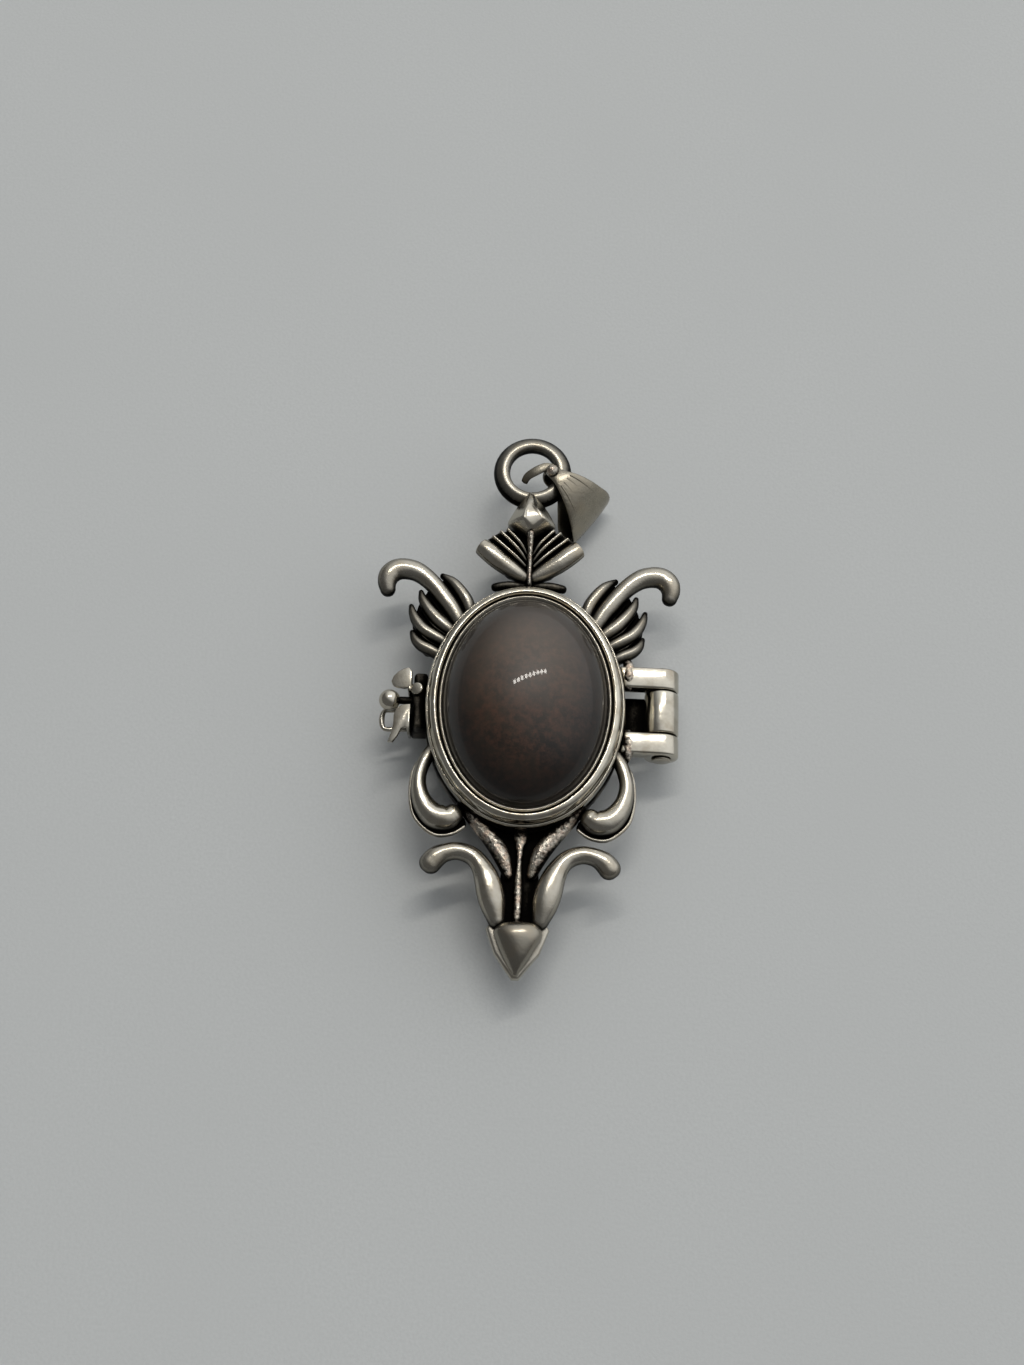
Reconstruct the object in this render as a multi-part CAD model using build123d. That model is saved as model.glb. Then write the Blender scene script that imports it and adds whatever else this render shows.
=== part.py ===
from build123d import *
from math import cos, radians, sin
import os

# Oval gemstone locket, lying on its back: an oval cup below, a jewelled lid above.
# Units are millimetres. +Z points up out of the stone, +Y to the hanging ring, +X to the
# hinge. The origin is the centre of the cup's flat back face.
# Half sizes of the ovals are given as (across, along) pairs worked out from these values.

# ---- driving sizes -------------------------------------------------------------------
STONE_WIDTH = 12.0
STONE_LENGTH = 16.0
STONE_GIRDLE = 0.9
STONE_DOME = 4.5
STONE_CLEARANCE = 0.03

BEZEL_WALL = 0.22
BEZEL_HEIGHT = 1.7
GROOVE = 0.13
RIM_WIDTH = 0.80
RIM_HEIGHT = 2.0
RIM_ROUND = 0.36
PLATE_STEP = 0.12
PLATE_THICK = 1.0

CUP_INSET = 0.4
CUP_HEIGHT = 3.25
CUP_WALL = 0.6
CUP_FLOOR = 0.8
CUP_ROUND = 0.7
SEAM = 0.05
LIP_DEPTH = 0.7
LIP_WIDTH = 0.5
LIP_CLEARANCE = 0.15

HINGE_REACH = 2.65
HINGE_SHIFT = 0.2
BARREL_RADIUS = 1.25
PIN_RADIUS = 0.45
PIN_CLEARANCE = 0.05
PIN_HEAD_RADIUS = 0.7
PIN_HEAD_HEIGHT = 0.2
KNUCKLE_LENGTH = 3.2
EAR_WIDTH = 1.6
EAR_GAP = 0.1
EAR_RISE = 1.35
LEAF_THICK = 1.0

LUG_REACH = 0.80
LUG_WIDTH = 4.2
LUG_HEIGHT = 1.4
FORK_GAP = 0.15
FORK_THICK = 0.25
FORK_WIDTH = 3.8
FORK_BASE = 1.2
FORK_TOP = 5.1
PETAL_SPREAD = 0.5
BALL_RADIUS = 0.78
BALL_GAP = 0.55
BALL_HEIGHT = 0.9
BALL_SHIFT = 0.4
NECK_RADIUS = 0.28
NECK_CLEARANCE = 0.15
THUMB_REACH = 1.9
THUMB_SHIFT = 0.15
THUMB_WIDTH = 1.7
THUMB_WIRE = 0.4

ORNAMENT_BASE = 0.25
ORNAMENT_THICK = 1.1
WEB_THICK = 0.6
WING_ANGLE = 47
HOOK_RADIUS = 0.62
FEATHER_RADIUS = 0.42
SCROLL_ANGLE = -38
SCROLL_RADIUS = 0.85
SCROLL_HORN = 0.55
CURL_RADIUS = 0.65
BELLY_RADIUS = 0.9
SPINE_WIDTH = 0.7
VINE_RADIUS = 0.5
TAIL_REACH = 6.8
TAIL_LENGTH = 3.7
TAIL_WIDTH = 4.3
HEAD_REACH = 3.9
HEAD_LENGTH = 3.3
HEAD_WIDTH = 3.5
STEM_WIDTH = 0.5

RING_RADIUS = 2.4
RING_WIRE = 0.55
BAIL_LENGTH = 4.8
BAIL_WIDE = 4.6
BAIL_NARROW = 0.95
BAIL_SHEET = 0.35
BAIL_CLEARANCE = 0.75
BAIL_HEADROOM = 0.25
BAIL_BEAD = 0.5
BAIL_LIFT = 0.1
BAIL_ANGLE = -22.0
BAIL_SKEW = -14.0

# ---- places worked out from them -----------------------------------------------------
STONE_OVAL = (STONE_WIDTH / 2, STONE_LENGTH / 2)


def grown(oval, by):
    """The oval with both half sizes larger by the same amount."""
    return (oval[0] + by, oval[1] + by)


def oval_point(oval, angle):
    """The point of an oval at an angle of its parameter, from +X towards +Y."""
    return (oval[0] * cos(radians(angle)), oval[1] * sin(radians(angle)))


WALL_IN = grown(STONE_OVAL, STONE_CLEARANCE)
WALL_OUT = grown(WALL_IN, BEZEL_WALL)
RIM_IN = grown(WALL_OUT, GROOVE)
RIM_OUT = grown(RIM_IN, RIM_WIDTH)
PLATE_OVAL = grown(RIM_OUT, PLATE_STEP)
CUP_OUT = grown(PLATE_OVAL, -CUP_INSET)
CUP_IN = grown(CUP_OUT, -CUP_WALL)
LIP_OUT = grown(CUP_IN, -LIP_CLEARANCE)
LIP_IN = grown(LIP_OUT, -LIP_WIDTH)

PARTING = CUP_HEIGHT + SEAM
PLATE_TOP = PARTING + PLATE_THICK
BASE = PARTING + ORNAMENT_BASE
TOP = BASE + ORNAMENT_THICK
HINGE_X = PLATE_OVAL[0] + HINGE_REACH
LUG_FACE = -(PLATE_OVAL[0] + LUG_REACH)
FORK_FACE = LUG_FACE - FORK_GAP - FORK_THICK
BALL_X = FORK_FACE - BALL_GAP - BALL_RADIUS
BALL_Z = PARTING + BALL_HEIGHT
HEAD_FOOT = PLATE_OVAL[1] + HEAD_REACH
HEAD_TIP = HEAD_FOOT + HEAD_LENGTH
RING_Y = HEAD_TIP + RING_RADIUS + 0.1
RING_Z = PARTING + 0.9
TAIL_FOOT = -PLATE_OVAL[1]
TAIL_TOP = TAIL_FOOT - TAIL_REACH
WING_ROOT = oval_point(PLATE_OVAL, WING_ANGLE)
SCROLL_ROOT = oval_point(PLATE_OVAL, SCROLL_ANGLE)


# ---- small shape helpers -------------------------------------------------------------
def slab(face, low, high):
    """A flat face on the XY plane made into a solid between two heights."""
    return Pos(0, 0, low) * extrude(face, high - low)


def oval_slab(oval, low, high):
    return slab(Ellipse(oval[0], oval[1]), low, high)


def oval_ring(outer, inner, low, high):
    return oval_slab(outer, low, high) - oval_slab(inner, low, high)


def outline(points):
    """A closed face through corner points, which go round anticlockwise."""
    return make_face(Polyline(*points, close=True))


def beside(anchor, points):
    """Points given relative to an anchor point."""
    return [(anchor[0] + x, anchor[1] + y) for x, y in points]


def mirrored(part, side):
    """The part as drawn for side 1, and its mirror image across the YZ plane for side -1."""
    return part if side > 0 else mirror(part, about=Plane.YZ)


def half_ball(at, outwards, radius):
    """A rounded end that closes a wire of the same radius."""
    return Plane(origin=at, z_dir=outwards) * Sphere(radius, 0, 90, align=None)


def tube(path, radius):
    """Round wire along a path of lines and arcs, with ball ends."""
    section = Plane(origin=path @ 0, z_dir=path % 0) * Circle(radius)
    wire = sweep(section, path=path)
    return wire + half_ball(path @ 0, -(path % 0), radius) + half_ball(path @ 1, path % 1, radius)


def rod(start, end, radius):
    """A straight round wire with ball ends."""
    return tube(Line(start, end), radius)


def clear_of_setting(part):
    """Cut the part back to the outside of the oval plate, where it is soldered on."""
    return part - oval_slab(PLATE_OVAL, PARTING - 2, PLATE_TOP + 4)


def clear_of_hinge(part):
    """Cut the part back from the band that the hinge and the catch take up on each side."""
    half = KNUCKLE_LENGTH / 2 + EAR_GAP + EAR_WIDTH + EAR_GAP
    return part - Pos(0, HINGE_SHIFT, PARTING) * Box(8 * HINGE_X, 2 * half, 4 * BARREL_RADIUS)


# ---- back cup, the locket's fixed half -----------------------------------------------
def back_cup():
    body = oval_slab(CUP_OUT, 0, CUP_HEIGHT)
    body = fillet(body.edges().group_by(Axis.Z)[0], CUP_ROUND)
    return body - oval_slab(CUP_IN, CUP_FLOOR, CUP_HEIGHT + 1)


def hinge_cylinder(radius, length, centre_y):
    """A cylinder on the hinge axis."""
    return Pos(HINGE_X, centre_y, PARTING) * Rot(90, 0, 0) * Cylinder(radius, length)


def hinge_leaf():
    """Strap from the cup wall, rolled into the hinge's middle knuckle."""
    depth = HINGE_X - CUP_IN[0]
    strap = Box(depth, KNUCKLE_LENGTH, LEAF_THICK, align=(Align.MIN, Align.CENTER, Align.MAX))
    strap = Pos(CUP_IN[0], HINGE_SHIFT, CUP_HEIGHT) * strap
    strap -= oval_slab(CUP_OUT, 0, CUP_HEIGHT + 1)
    knuckle = hinge_cylinder(BARREL_RADIUS, KNUCKLE_LENGTH, HINGE_SHIFT)
    bore = hinge_cylinder(PIN_RADIUS + PIN_CLEARANCE, KNUCKLE_LENGTH + 1, HINGE_SHIFT)
    return strap + knuckle - bore


def latch_bracket():
    depth = -(FORK_FACE + FORK_THICK) - CUP_IN[0]
    block = Box(depth, FORK_WIDTH * 0.8, CUP_HEIGHT - FORK_BASE,
                align=(Align.MAX, Align.CENTER, Align.MIN))
    block = Pos(-CUP_IN[0], 0, FORK_BASE) * block
    return block - oval_slab(CUP_OUT, 0, CUP_HEIGHT + 1)


def latch_fork():
    """Springy upright plate with petal corners and a notch for the ball's neck."""
    half = FORK_WIDTH / 2
    waist = PARTING
    face = outline([
        (-half * 0.8, FORK_BASE), (half * 0.8, FORK_BASE), (half, waist),
        (half + PETAL_SPREAD, FORK_TOP), (-half - PETAL_SPREAD, FORK_TOP), (-half, waist),
    ])
    slot_half = NECK_RADIUS + NECK_CLEARANCE
    slot = Pos(BALL_SHIFT, BALL_Z) * (Circle(slot_half) + Pos(0, 2) * Rectangle(2 * slot_half, 4))
    plate = extrude(Plane.YZ * (face - slot), FORK_THICK)
    return Pos(FORK_FACE, 0, 0) * plate


def latch_thumb_loop():
    """Low wire loop below the ball, pulled with a thumbnail to spring the fork open."""
    outer = Rectangle(THUMB_REACH, THUMB_WIDTH, align=(Align.MAX, Align.MAX))
    hole = Rectangle(THUMB_REACH - THUMB_WIRE * 2, THUMB_WIDTH - THUMB_WIRE * 2,
                     align=(Align.MAX, Align.MAX))
    loop = outer - Pos(-THUMB_WIRE, -THUMB_WIRE) * hole
    low = CUP_HEIGHT - 2 * THUMB_WIRE
    return Pos(FORK_FACE, THUMB_SHIFT, 0) * slab(loop, low, low + THUMB_WIRE)


# ---- lid: plate, setting and stone ---------------------------------------------------
def frame_plate():
    return oval_slab(PLATE_OVAL, PARTING, PLATE_TOP)


def locating_lip():
    return oval_ring(LIP_OUT, LIP_IN, PARTING - LIP_DEPTH, PARTING)


def bezel_wall():
    return oval_ring(WALL_OUT, WALL_IN, PLATE_TOP, PLATE_TOP + BEZEL_HEIGHT)


def bezel_rim():
    rim = oval_ring(RIM_OUT, RIM_IN, PLATE_TOP, PLATE_TOP + RIM_HEIGHT)
    return fillet(rim.edges().group_by(Axis.Z)[-1], RIM_ROUND)


def stone():
    """Oval cabochon: a straight girdle under a half ellipsoid."""
    girdle_top = PLATE_TOP + STONE_GIRDLE
    ball = scale(Sphere(1), by=(STONE_OVAL[0], STONE_OVAL[1], STONE_DOME))
    below = Pos(0, 0, -STONE_DOME) * Box(4 * STONE_WIDTH, 4 * STONE_LENGTH, 2 * STONE_DOME)
    dome = Pos(0, 0, girdle_top) * (ball - below)
    return oval_slab(STONE_OVAL, PLATE_TOP, girdle_top) + dome


# ---- hinge side of the lid -----------------------------------------------------------
def ear_centre(side):
    return HINGE_SHIFT + side * (KNUCKLE_LENGTH / 2 + EAR_GAP + EAR_WIDTH / 2)


def hinge_ear(side):
    """Arm from the plate to an outer knuckle; its top slopes down to the barrel."""
    barrel_top = PARTING + BARREL_RADIUS
    profile = Plane.XZ * outline([
        (PLATE_OVAL[0] - 1, PARTING), (HINGE_X, PARTING), (HINGE_X, barrel_top),
        (PLATE_OVAL[0] + 0.4, PARTING + EAR_RISE), (PLATE_OVAL[0] - 1, PARTING + EAR_RISE),
    ])
    arm = Pos(0, ear_centre(side), 0) * extrude(profile, EAR_WIDTH / 2, both=True)
    arm = clear_of_setting(arm)
    bore = hinge_cylinder(PIN_RADIUS, EAR_WIDTH + 1, ear_centre(side))
    return arm + hinge_cylinder(BARREL_RADIUS, EAR_WIDTH, ear_centre(side)) - bore


def hinge_pin():
    """Pin riveted into both ears, with a low peened head at each end."""
    span = KNUCKLE_LENGTH + 2 * (EAR_GAP + EAR_WIDTH)
    pin = hinge_cylinder(PIN_RADIUS, span, HINGE_SHIFT)
    for side in (1, -1):
        head_y = HINGE_SHIFT + side * (span + PIN_HEAD_HEIGHT) / 2
        pin += hinge_cylinder(PIN_HEAD_RADIUS, PIN_HEAD_HEIGHT, head_y)
    return pin


# ---- catch side of the lid -----------------------------------------------------------
def catch_lug():
    depth = -LUG_FACE - PLATE_OVAL[0] + 1.5
    block = Box(depth, LUG_WIDTH, LUG_HEIGHT, align=(Align.MIN, Align.CENTER, Align.MIN))
    return clear_of_setting(Pos(LUG_FACE, BALL_SHIFT - 0.1, PARTING + 0.1) * block)


def catch_ball_pin():
    """Turned pin: a thin neck that ends in a ball."""
    neck_length = LUG_FACE - BALL_X
    profile = Circle(BALL_RADIUS) + Rectangle(neck_length, 2 * NECK_RADIUS, align=(Align.MIN, Align.CENTER))
    upper_half = Rectangle(4 * neck_length, 4 * BALL_RADIUS, align=(Align.CENTER, Align.MIN))
    return Pos(BALL_X, BALL_SHIFT, BALL_Z) * revolve(profile & upper_half, Axis.X)


# ---- wings ---------------------------------------------------------------------------
def wing_hook(side):
    """Upper feather of the wing, a round horn that curls over at its tip."""
    level = BASE + HOOK_RADIUS
    root, bend, crest, tip = [
        (x, y, level)
        for x, y in beside(WING_ROOT, [(0.3, 0.2), (2.7, 3.2), (4.55, 4.2), (5.35, 2.1)])
    ]
    stem = Line(root, bend)
    rise = TangentArc(bend, crest, tangent=stem % 1)
    curl = TangentArc(crest, tip, tangent=rise % 1)
    horn = tube(Wire([stem, rise, curl]), HOOK_RADIUS)
    return clear_of_setting(mirrored(horn, side))


def wing_fan(side):
    """Four feather ridges on a thin web, fanning out below the horn."""
    fan = slab(outline(beside(WING_ROOT, [
        (1.4, -3.0), (2.9, -2.6), (3.45, -1.2), (3.5, 1.0), (2.9, 2.2), (1.6, 3.1),
        (0.7, 3.5), (-1.1, 0.8),
    ])), BASE, BASE + WEB_THICK)
    level = BASE + WEB_THICK
    for feather in ([(-0.7, 1.2), (0.7, 3.2)], [(1.0, -0.5), (2.8, 2.0)],
                    [(1.5, -1.4), (3.3, 0.7)], [(1.8, -2.2), (3.1, -1.4)]):
        root, tip = beside(WING_ROOT, feather)
        fan += rod((root[0], root[1], level), (tip[0], tip[1], level), FEATHER_RADIUS)
    fan = clear_of_hinge(clear_of_setting(mirrored(fan, side)))
    return (fan - wing_hook(side)).solids().sort_by(SortBy.VOLUME)[-1]


# ---- scrolls -------------------------------------------------------------------------
def scroll(side):
    """Crescent scroll beside the lower end of the setting, thin above and thick below."""
    level = BASE + SCROLL_RADIUS
    horn_path = [(x, y, level) for x, y in beside(SCROLL_ROOT, [(1.0, 1.5), (1.7, -0.6), (0.85, -2.2)])]
    belly_path = [(x, y, level) for x, y in beside(SCROLL_ROOT, [(1.35, -1.4), (0.45, -2.4), (-1.0, -2.3)])]
    horn = tube(ThreePointArc(*horn_path), SCROLL_HORN)
    belly = tube(ThreePointArc(*belly_path), SCROLL_RADIUS)
    pieces = [clear_of_setting(mirrored(bar, side)) for bar in (horn, belly)]
    return clear_of_hinge(pieces[0] + pieces[1])


# ---- tail ----------------------------------------------------------------------------
def tail_curl(side):
    """Leaf that swells beside the spine and curls outwards over its top."""
    level = BASE + CURL_RADIUS
    tip, crest, shoulder, waist = [
        (x, TAIL_FOOT - y, level) for x, y in [(6.3, 2.3), (4.6, 1.45), (2.95, 2.3), (1.9, 4.6)]
    ]
    arch = ThreePointArc(tip, crest, shoulder)
    fall = TangentArc(shoulder, waist, tangent=arch % 1)
    curl = tube(Wire([arch, fall]), CURL_RADIUS)
    belly_level = BASE + BELLY_RADIUS
    belly = rod((2.2, TAIL_FOOT - 4.1, belly_level),
                (1.55, TAIL_TOP + BELLY_RADIUS, belly_level), BELLY_RADIUS)
    leaf = mirrored(curl + belly, side)
    return leaf - tail_point() - tail_spine()


def tail_spine():
    """Ribbed web down the middle of the tail, spread into two arms at the top."""
    half = SPINE_WIDTH / 2
    top = TAIL_FOOT + 0.4
    bar = slab(outline([
        (half, top), (-half, top), (-half, TAIL_TOP), (half, TAIL_TOP),
    ]), BASE, BASE + WEB_THICK + 0.3)
    web = slab(outline([
        (3.4, top + 1.2), (-3.4, top + 1.2), (-1.2, TAIL_FOOT - 2.3), (-1.5, TAIL_TOP),
        (1.5, TAIL_TOP), (1.2, TAIL_FOOT - 2.3),
    ]), BASE, BASE + WEB_THICK)
    return clear_of_setting(bar + web)


def tail_vine(side):
    level = BASE + WEB_THICK + VINE_RADIUS * 0.6
    vine = rod((3.4, TAIL_FOOT + 1.3, level), (0.9, TAIL_FOOT - 2.2, level), VINE_RADIUS)
    return clear_of_setting(mirrored(vine, side)) - tail_spine()


def tail_point():
    """Faceted arrow point that ends the tail."""
    half = TAIL_WIDTH / 2
    face = outline([(half, TAIL_TOP), (-half, TAIL_TOP), (0, TAIL_TOP - TAIL_LENGTH)])
    foot = slab(face, BASE - 0.1, BASE + 0.5)
    crown = Pos(0, 0, BASE + 0.5) * extrude(face, 0.9, taper=40)
    return foot + crown


# ---- head and ring -------------------------------------------------------------------
def head_finial():
    """Four-sided pointed finial with the lug that carries the hanging ring."""
    half = HEAD_WIDTH / 2
    shoulder = HEAD_FOOT + HEAD_LENGTH * 0.3
    face = outline([(0, HEAD_FOOT), (half, shoulder), (0, HEAD_TIP), (-half, shoulder)])
    foot = slab(face, BASE - 0.1, BASE + 1.1)
    crown = Pos(0, 0, BASE + 1.1) * extrude(face, 0.9, taper=42)
    lug = slab(Pos(0, HEAD_TIP - 0.9) * Rectangle(1.3, 1.8), BASE - 0.2, BASE + 0.9)
    return foot + crown + lug


def head_stem():
    low = PLATE_OVAL[1] - 0.4
    bar = slab(Pos(0, (low + HEAD_FOOT + 0.4) / 2) * Rectangle(STEM_WIDTH, HEAD_FOOT + 0.4 - low),
               BASE, TOP + 0.4)
    return clear_of_setting(bar) - head_finial()


def head_leaf(side):
    """Rolled leaf that spreads out and down from the finial."""
    foot = PLATE_OVAL[1]
    face = outline([
        (0, foot + 0.5), (1.8, foot + 1.0), (4.05, foot + 2.9), (3.3, foot + 4.0),
        (1.9, foot + 4.9), (0, foot + 4.2),
    ])
    leaf = slab(face, BASE, TOP)
    leaf = chamfer(leaf.edges().group_by(Axis.Z)[-1], 0.25)
    leaf = mirrored(leaf, side) - head_finial() - head_stem()
    keep = Pos(side * 5, foot + 3, BASE) * Box(10, 12, 12)
    return (leaf & keep).solids().sort_by(SortBy.VOLUME)[-1]


def head_collar():
    """Small curved foot between the setting and the head leaves."""
    bar = slab(Pos(0, PLATE_OVAL[1] + 0.1) * Rectangle(5.4, 1.4), BASE, BASE + 0.8)
    collar = clear_of_setting(bar)
    for piece in (head_stem(), head_leaf(1), head_leaf(-1)):
        collar -= piece
    return collar


def hanging_ring():
    """Closed round wire ring, notched where the finial's lug is soldered into it."""
    ring = Rot(0, 0, -90) * Torus(RING_RADIUS, RING_WIRE)
    return Pos(0, RING_Y, RING_Z) * ring - head_finial()


# ---- bail ----------------------------------------------------------------------------
def on_ring(part):
    """From a frame on the ring wire (+X outwards along the bail) to where the bail lies."""
    to_wire = Pos(0, RING_Y, RING_Z) * Rot(0, 0, BAIL_ANGLE) * Pos(RING_RADIUS, 0, 0)
    return to_wire * Rot(0, 0, BAIL_SKEW) * part


def bail_side(grow):
    """Side view of the folded strip: narrow at the bead, widening to the fold."""
    near = -RING_WIRE - BAIL_CLEARANCE
    far = BAIL_LENGTH + near
    top = RING_WIRE + BAIL_HEADROOM
    low = BAIL_SHEET + BAIL_LIFT - RING_Z
    return offset(outline([
        (near + 0.5, -top), (0.8, -top), (far, low), (far + 0.3, low + 1.0), (far, low + 1.9),
        (1.3, top), (near + 0.5, top), (near, top - 0.4), (near, 0.4 - top),
    ]), grow)


def bail_block(face):
    """A side view made into a block as wide as the bail, in the ring wire's frame."""
    return extrude(Plane.XZ * face, BAIL_WIDE, both=True)


def bail_shell():
    """Tapered strip folded round the ring wire, open at both sides for a chain."""
    band = bail_block(bail_side(BAIL_SHEET) - bail_side(0))
    near = -RING_WIRE - BAIL_CLEARANCE - 1
    flare = -0.5
    far = BAIL_LENGTH + 1
    plan = outline([
        (near, -BAIL_NARROW / 2), (flare, -BAIL_NARROW / 2), (far, -BAIL_WIDE / 2),
        (far, BAIL_WIDE / 2), (flare, BAIL_NARROW / 2), (near, BAIL_NARROW / 2),
    ])
    return on_ring(band & slab(plan, -RING_Z - 5, RING_Z + 5))


def bail_bead():
    """Bead of solder on top of the strip's joined narrow ends."""
    near = -RING_WIRE - BAIL_CLEARANCE
    bead = Pos(near, 0, RING_WIRE + BAIL_SHEET) * Sphere(BAIL_BEAD)
    return on_ring(bead - bail_block(bail_side(BAIL_SHEET)))


# ---- every node of the locket --------------------------------------------------------
NODES = {
    "back_cup": back_cup(),
    "hinge_leaf": hinge_leaf(),
    "latch_bracket": latch_bracket(),
    "latch_fork": latch_fork(),
    "latch_thumb_loop": latch_thumb_loop(),
    "frame_plate": frame_plate(),
    "locating_lip": locating_lip(),
    "bezel_wall": bezel_wall(),
    "bezel_rim": bezel_rim(),
    "stone": stone(),
    "hinge_ear_upper": hinge_ear(1),
    "hinge_ear_lower": hinge_ear(-1),
    "hinge_pin": hinge_pin(),
    "catch_lug": catch_lug(),
    "catch_ball_pin": catch_ball_pin(),
    "wing_hook_right": wing_hook(1),
    "wing_hook_left": wing_hook(-1),
    "wing_fan_right": wing_fan(1),
    "wing_fan_left": wing_fan(-1),
    "scroll_right": scroll(1),
    "scroll_left": scroll(-1),
    "tail_curl_right": tail_curl(1),
    "tail_curl_left": tail_curl(-1),
    "tail_spine": tail_spine(),
    "tail_vine_right": tail_vine(1),
    "tail_vine_left": tail_vine(-1),
    "tail_point": tail_point(),
    "head_finial": head_finial(),
    "head_stem": head_stem(),
    "head_leaf_right": head_leaf(1),
    "head_leaf_left": head_leaf(-1),
    "head_collar": head_collar(),
    "hanging_ring": hanging_ring(),
    "bail_shell": bail_shell(),
    "bail_bead": bail_bead(),
}

os.makedirs("parts", exist_ok=True)
for name, solid in NODES.items():
    export_step(solid, f"parts/{name}.step")
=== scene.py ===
import bmesh
import bpy
from math import cos, hypot, pi, radians, sin
from mathutils import Matrix, Vector


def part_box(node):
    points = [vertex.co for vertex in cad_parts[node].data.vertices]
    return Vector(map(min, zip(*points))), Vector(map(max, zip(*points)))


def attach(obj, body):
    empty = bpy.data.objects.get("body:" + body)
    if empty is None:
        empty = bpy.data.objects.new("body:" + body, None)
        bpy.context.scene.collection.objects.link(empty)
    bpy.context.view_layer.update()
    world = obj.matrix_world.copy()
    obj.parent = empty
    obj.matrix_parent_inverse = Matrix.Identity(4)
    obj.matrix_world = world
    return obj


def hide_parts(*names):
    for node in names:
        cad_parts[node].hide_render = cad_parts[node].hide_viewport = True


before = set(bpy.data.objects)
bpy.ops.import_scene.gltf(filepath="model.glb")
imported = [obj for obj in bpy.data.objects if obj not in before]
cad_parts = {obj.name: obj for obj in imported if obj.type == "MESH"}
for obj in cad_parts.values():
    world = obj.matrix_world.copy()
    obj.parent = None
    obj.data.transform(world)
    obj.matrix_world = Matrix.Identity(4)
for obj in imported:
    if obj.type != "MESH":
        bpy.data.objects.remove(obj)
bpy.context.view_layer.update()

# ---- The bench -----------------------------------------------------------------------
# The locket lies on its back on a pale matt board under a short strip lamp, in a dim room
# with a window over its right shoulder. The camera looks down from its foot, 20 degrees off plumb.
MM = 0.001
BOARD_SIZE = 3.0
BOARD_GRAIN_MM = 0.22
BOARD_CLOUD_MM = 18
STRIP_ENDS = (Vector((-0.19, 0.36, 0.91)), Vector((0.31, 0.48, 0.82)))
STRIP_TUBES = 9
STRIP_TUBE = 0.042
STRIP_RADIANCE = 40
WINDOW_SIDE = Vector((0.50, 0.58, 0.55))
ROOM_DARK = 0.16
ROOM_BRIGHT = 1.25
CAMERA_TILT = radians(20)
CAMERA_ROLL = radians(2)
CAMERA_REACH = 0.14626
CAMERA_OFF_STONE = Vector((-1.01, 1.02, 0.09)) * MM
LENS = 54.12


def linear(hex_colour):
    """An sRGB colour such as c9c4b8 as the linear values that a shader takes."""
    channels = [int(hex_colour[k:k + 2], 16) / 255 for k in (0, 2, 4)]
    return tuple(c / 12.92 if c < 0.04045 else ((c + 0.055) / 1.055) ** 2.4 for c in channels) + (1,)


def per_mm(size):
    """The scale of a pattern in metres whose grains are this many millimetres across."""
    return 1000 / size


def add(tree, kind, settings=None, feeds=None):
    """A new node with its settings (its own properties or its sockets' values) and links."""
    node = tree.nodes.new(kind)
    for name, value in (settings or {}).items():
        if name in node.inputs:
            node.inputs[name].default_value = value
        else:
            setattr(node, name, value)
    for name, source in (feeds or {}).items():
        tree.links.new(source, node.inputs[name])
    return node


def new_finish(name):
    """An empty material: its tree, its shader and its object coordinates in metres."""
    material = bpy.data.materials.new(name)
    material.use_nodes = True
    tree = material.node_tree
    tree.nodes.clear()
    shader = add(tree, "ShaderNodeBsdfPrincipled")
    add(tree, "ShaderNodeOutputMaterial", {}, {"Surface": shader.outputs["BSDF"]})
    place = add(tree, "ShaderNodeTexCoord").outputs["Object"]
    return material, tree, shader, place


def lamp(name, direction, distance, size, radiance, colour="ffffff"):
    """A rectangular lamp that faces the locket from a direction."""
    light = bpy.data.lights.new(name, "AREA")
    light.shape = "RECTANGLE"
    light.size, light.size_y = size
    light.energy = radiance * pi * size[0] * size[1]
    light.color = linear(colour)[:3]
    holder = bpy.data.objects.new(name, light)
    bpy.context.scene.collection.objects.link(holder)
    outwards = Vector(direction).normalized()
    turn = outwards.to_track_quat("Z", "Y").to_matrix().to_4x4()
    holder.matrix_world = Matrix.Translation(outwards * distance) @ turn


# Matt painted board: a fine paper-like grain gives the eye a faint speckle, not a gloss.
board_finish, tree, shader, place = new_finish("matt painted board")
grain = add(tree, "ShaderNodeTexNoise", {"Scale": per_mm(BOARD_GRAIN_MM), "Detail": 3.0}, {"Vector": place})
cloud = add(tree, "ShaderNodeTexNoise", {"Scale": per_mm(BOARD_CLOUD_MM), "Detail": 2.0}, {"Vector": place})
speck = add(tree, "ShaderNodeMapRange", {"From Min": 0.3, "From Max": 0.7}, {"Value": grain.outputs["Fac"]})
tone = add(tree, "ShaderNodeMixRGB", {"Color1": linear("bfc2c2"), "Color2": linear("c9cccc")},
           {"Fac": speck.outputs["Result"]})
drift = add(tree, "ShaderNodeMixRGB", {"Color2": linear("c0c3c3")}, {"Color1": tone.outputs["Color"]})
tree.links.new(cloud.outputs["Fac"], drift.inputs["Fac"])
bump = add(tree, "ShaderNodeBump", {"Strength": 0.25, "Distance": 0.04 * MM},
           {"Height": grain.outputs["Fac"]})
tree.links.new(drift.outputs["Color"], shader.inputs["Base Color"])
tree.links.new(bump.outputs["Normal"], shader.inputs["Normal"])
shader.inputs["Roughness"].default_value = 0.62
shader.inputs["Specular IOR Level"].default_value = 0.35

board_mesh = bpy.data.meshes.new("board")
bm = bmesh.new()
bmesh.ops.create_grid(bm, x_segments=1, y_segments=1, size=BOARD_SIZE)
bm.to_mesh(board_mesh)
bm.free()
board_mesh.materials.append(board_finish)
board = bpy.data.objects.new("board", board_mesh)
bpy.context.scene.collection.objects.link(board)

for k in range(STRIP_TUBES):
    spot = STRIP_ENDS[0].lerp(STRIP_ENDS[1], k / (STRIP_TUBES - 1))
    lamp(f"strip_lamp_{k}", spot, spot.length, (STRIP_TUBE, STRIP_TUBE * 1.1), STRIP_RADIANCE, "fffaf2")

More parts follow.
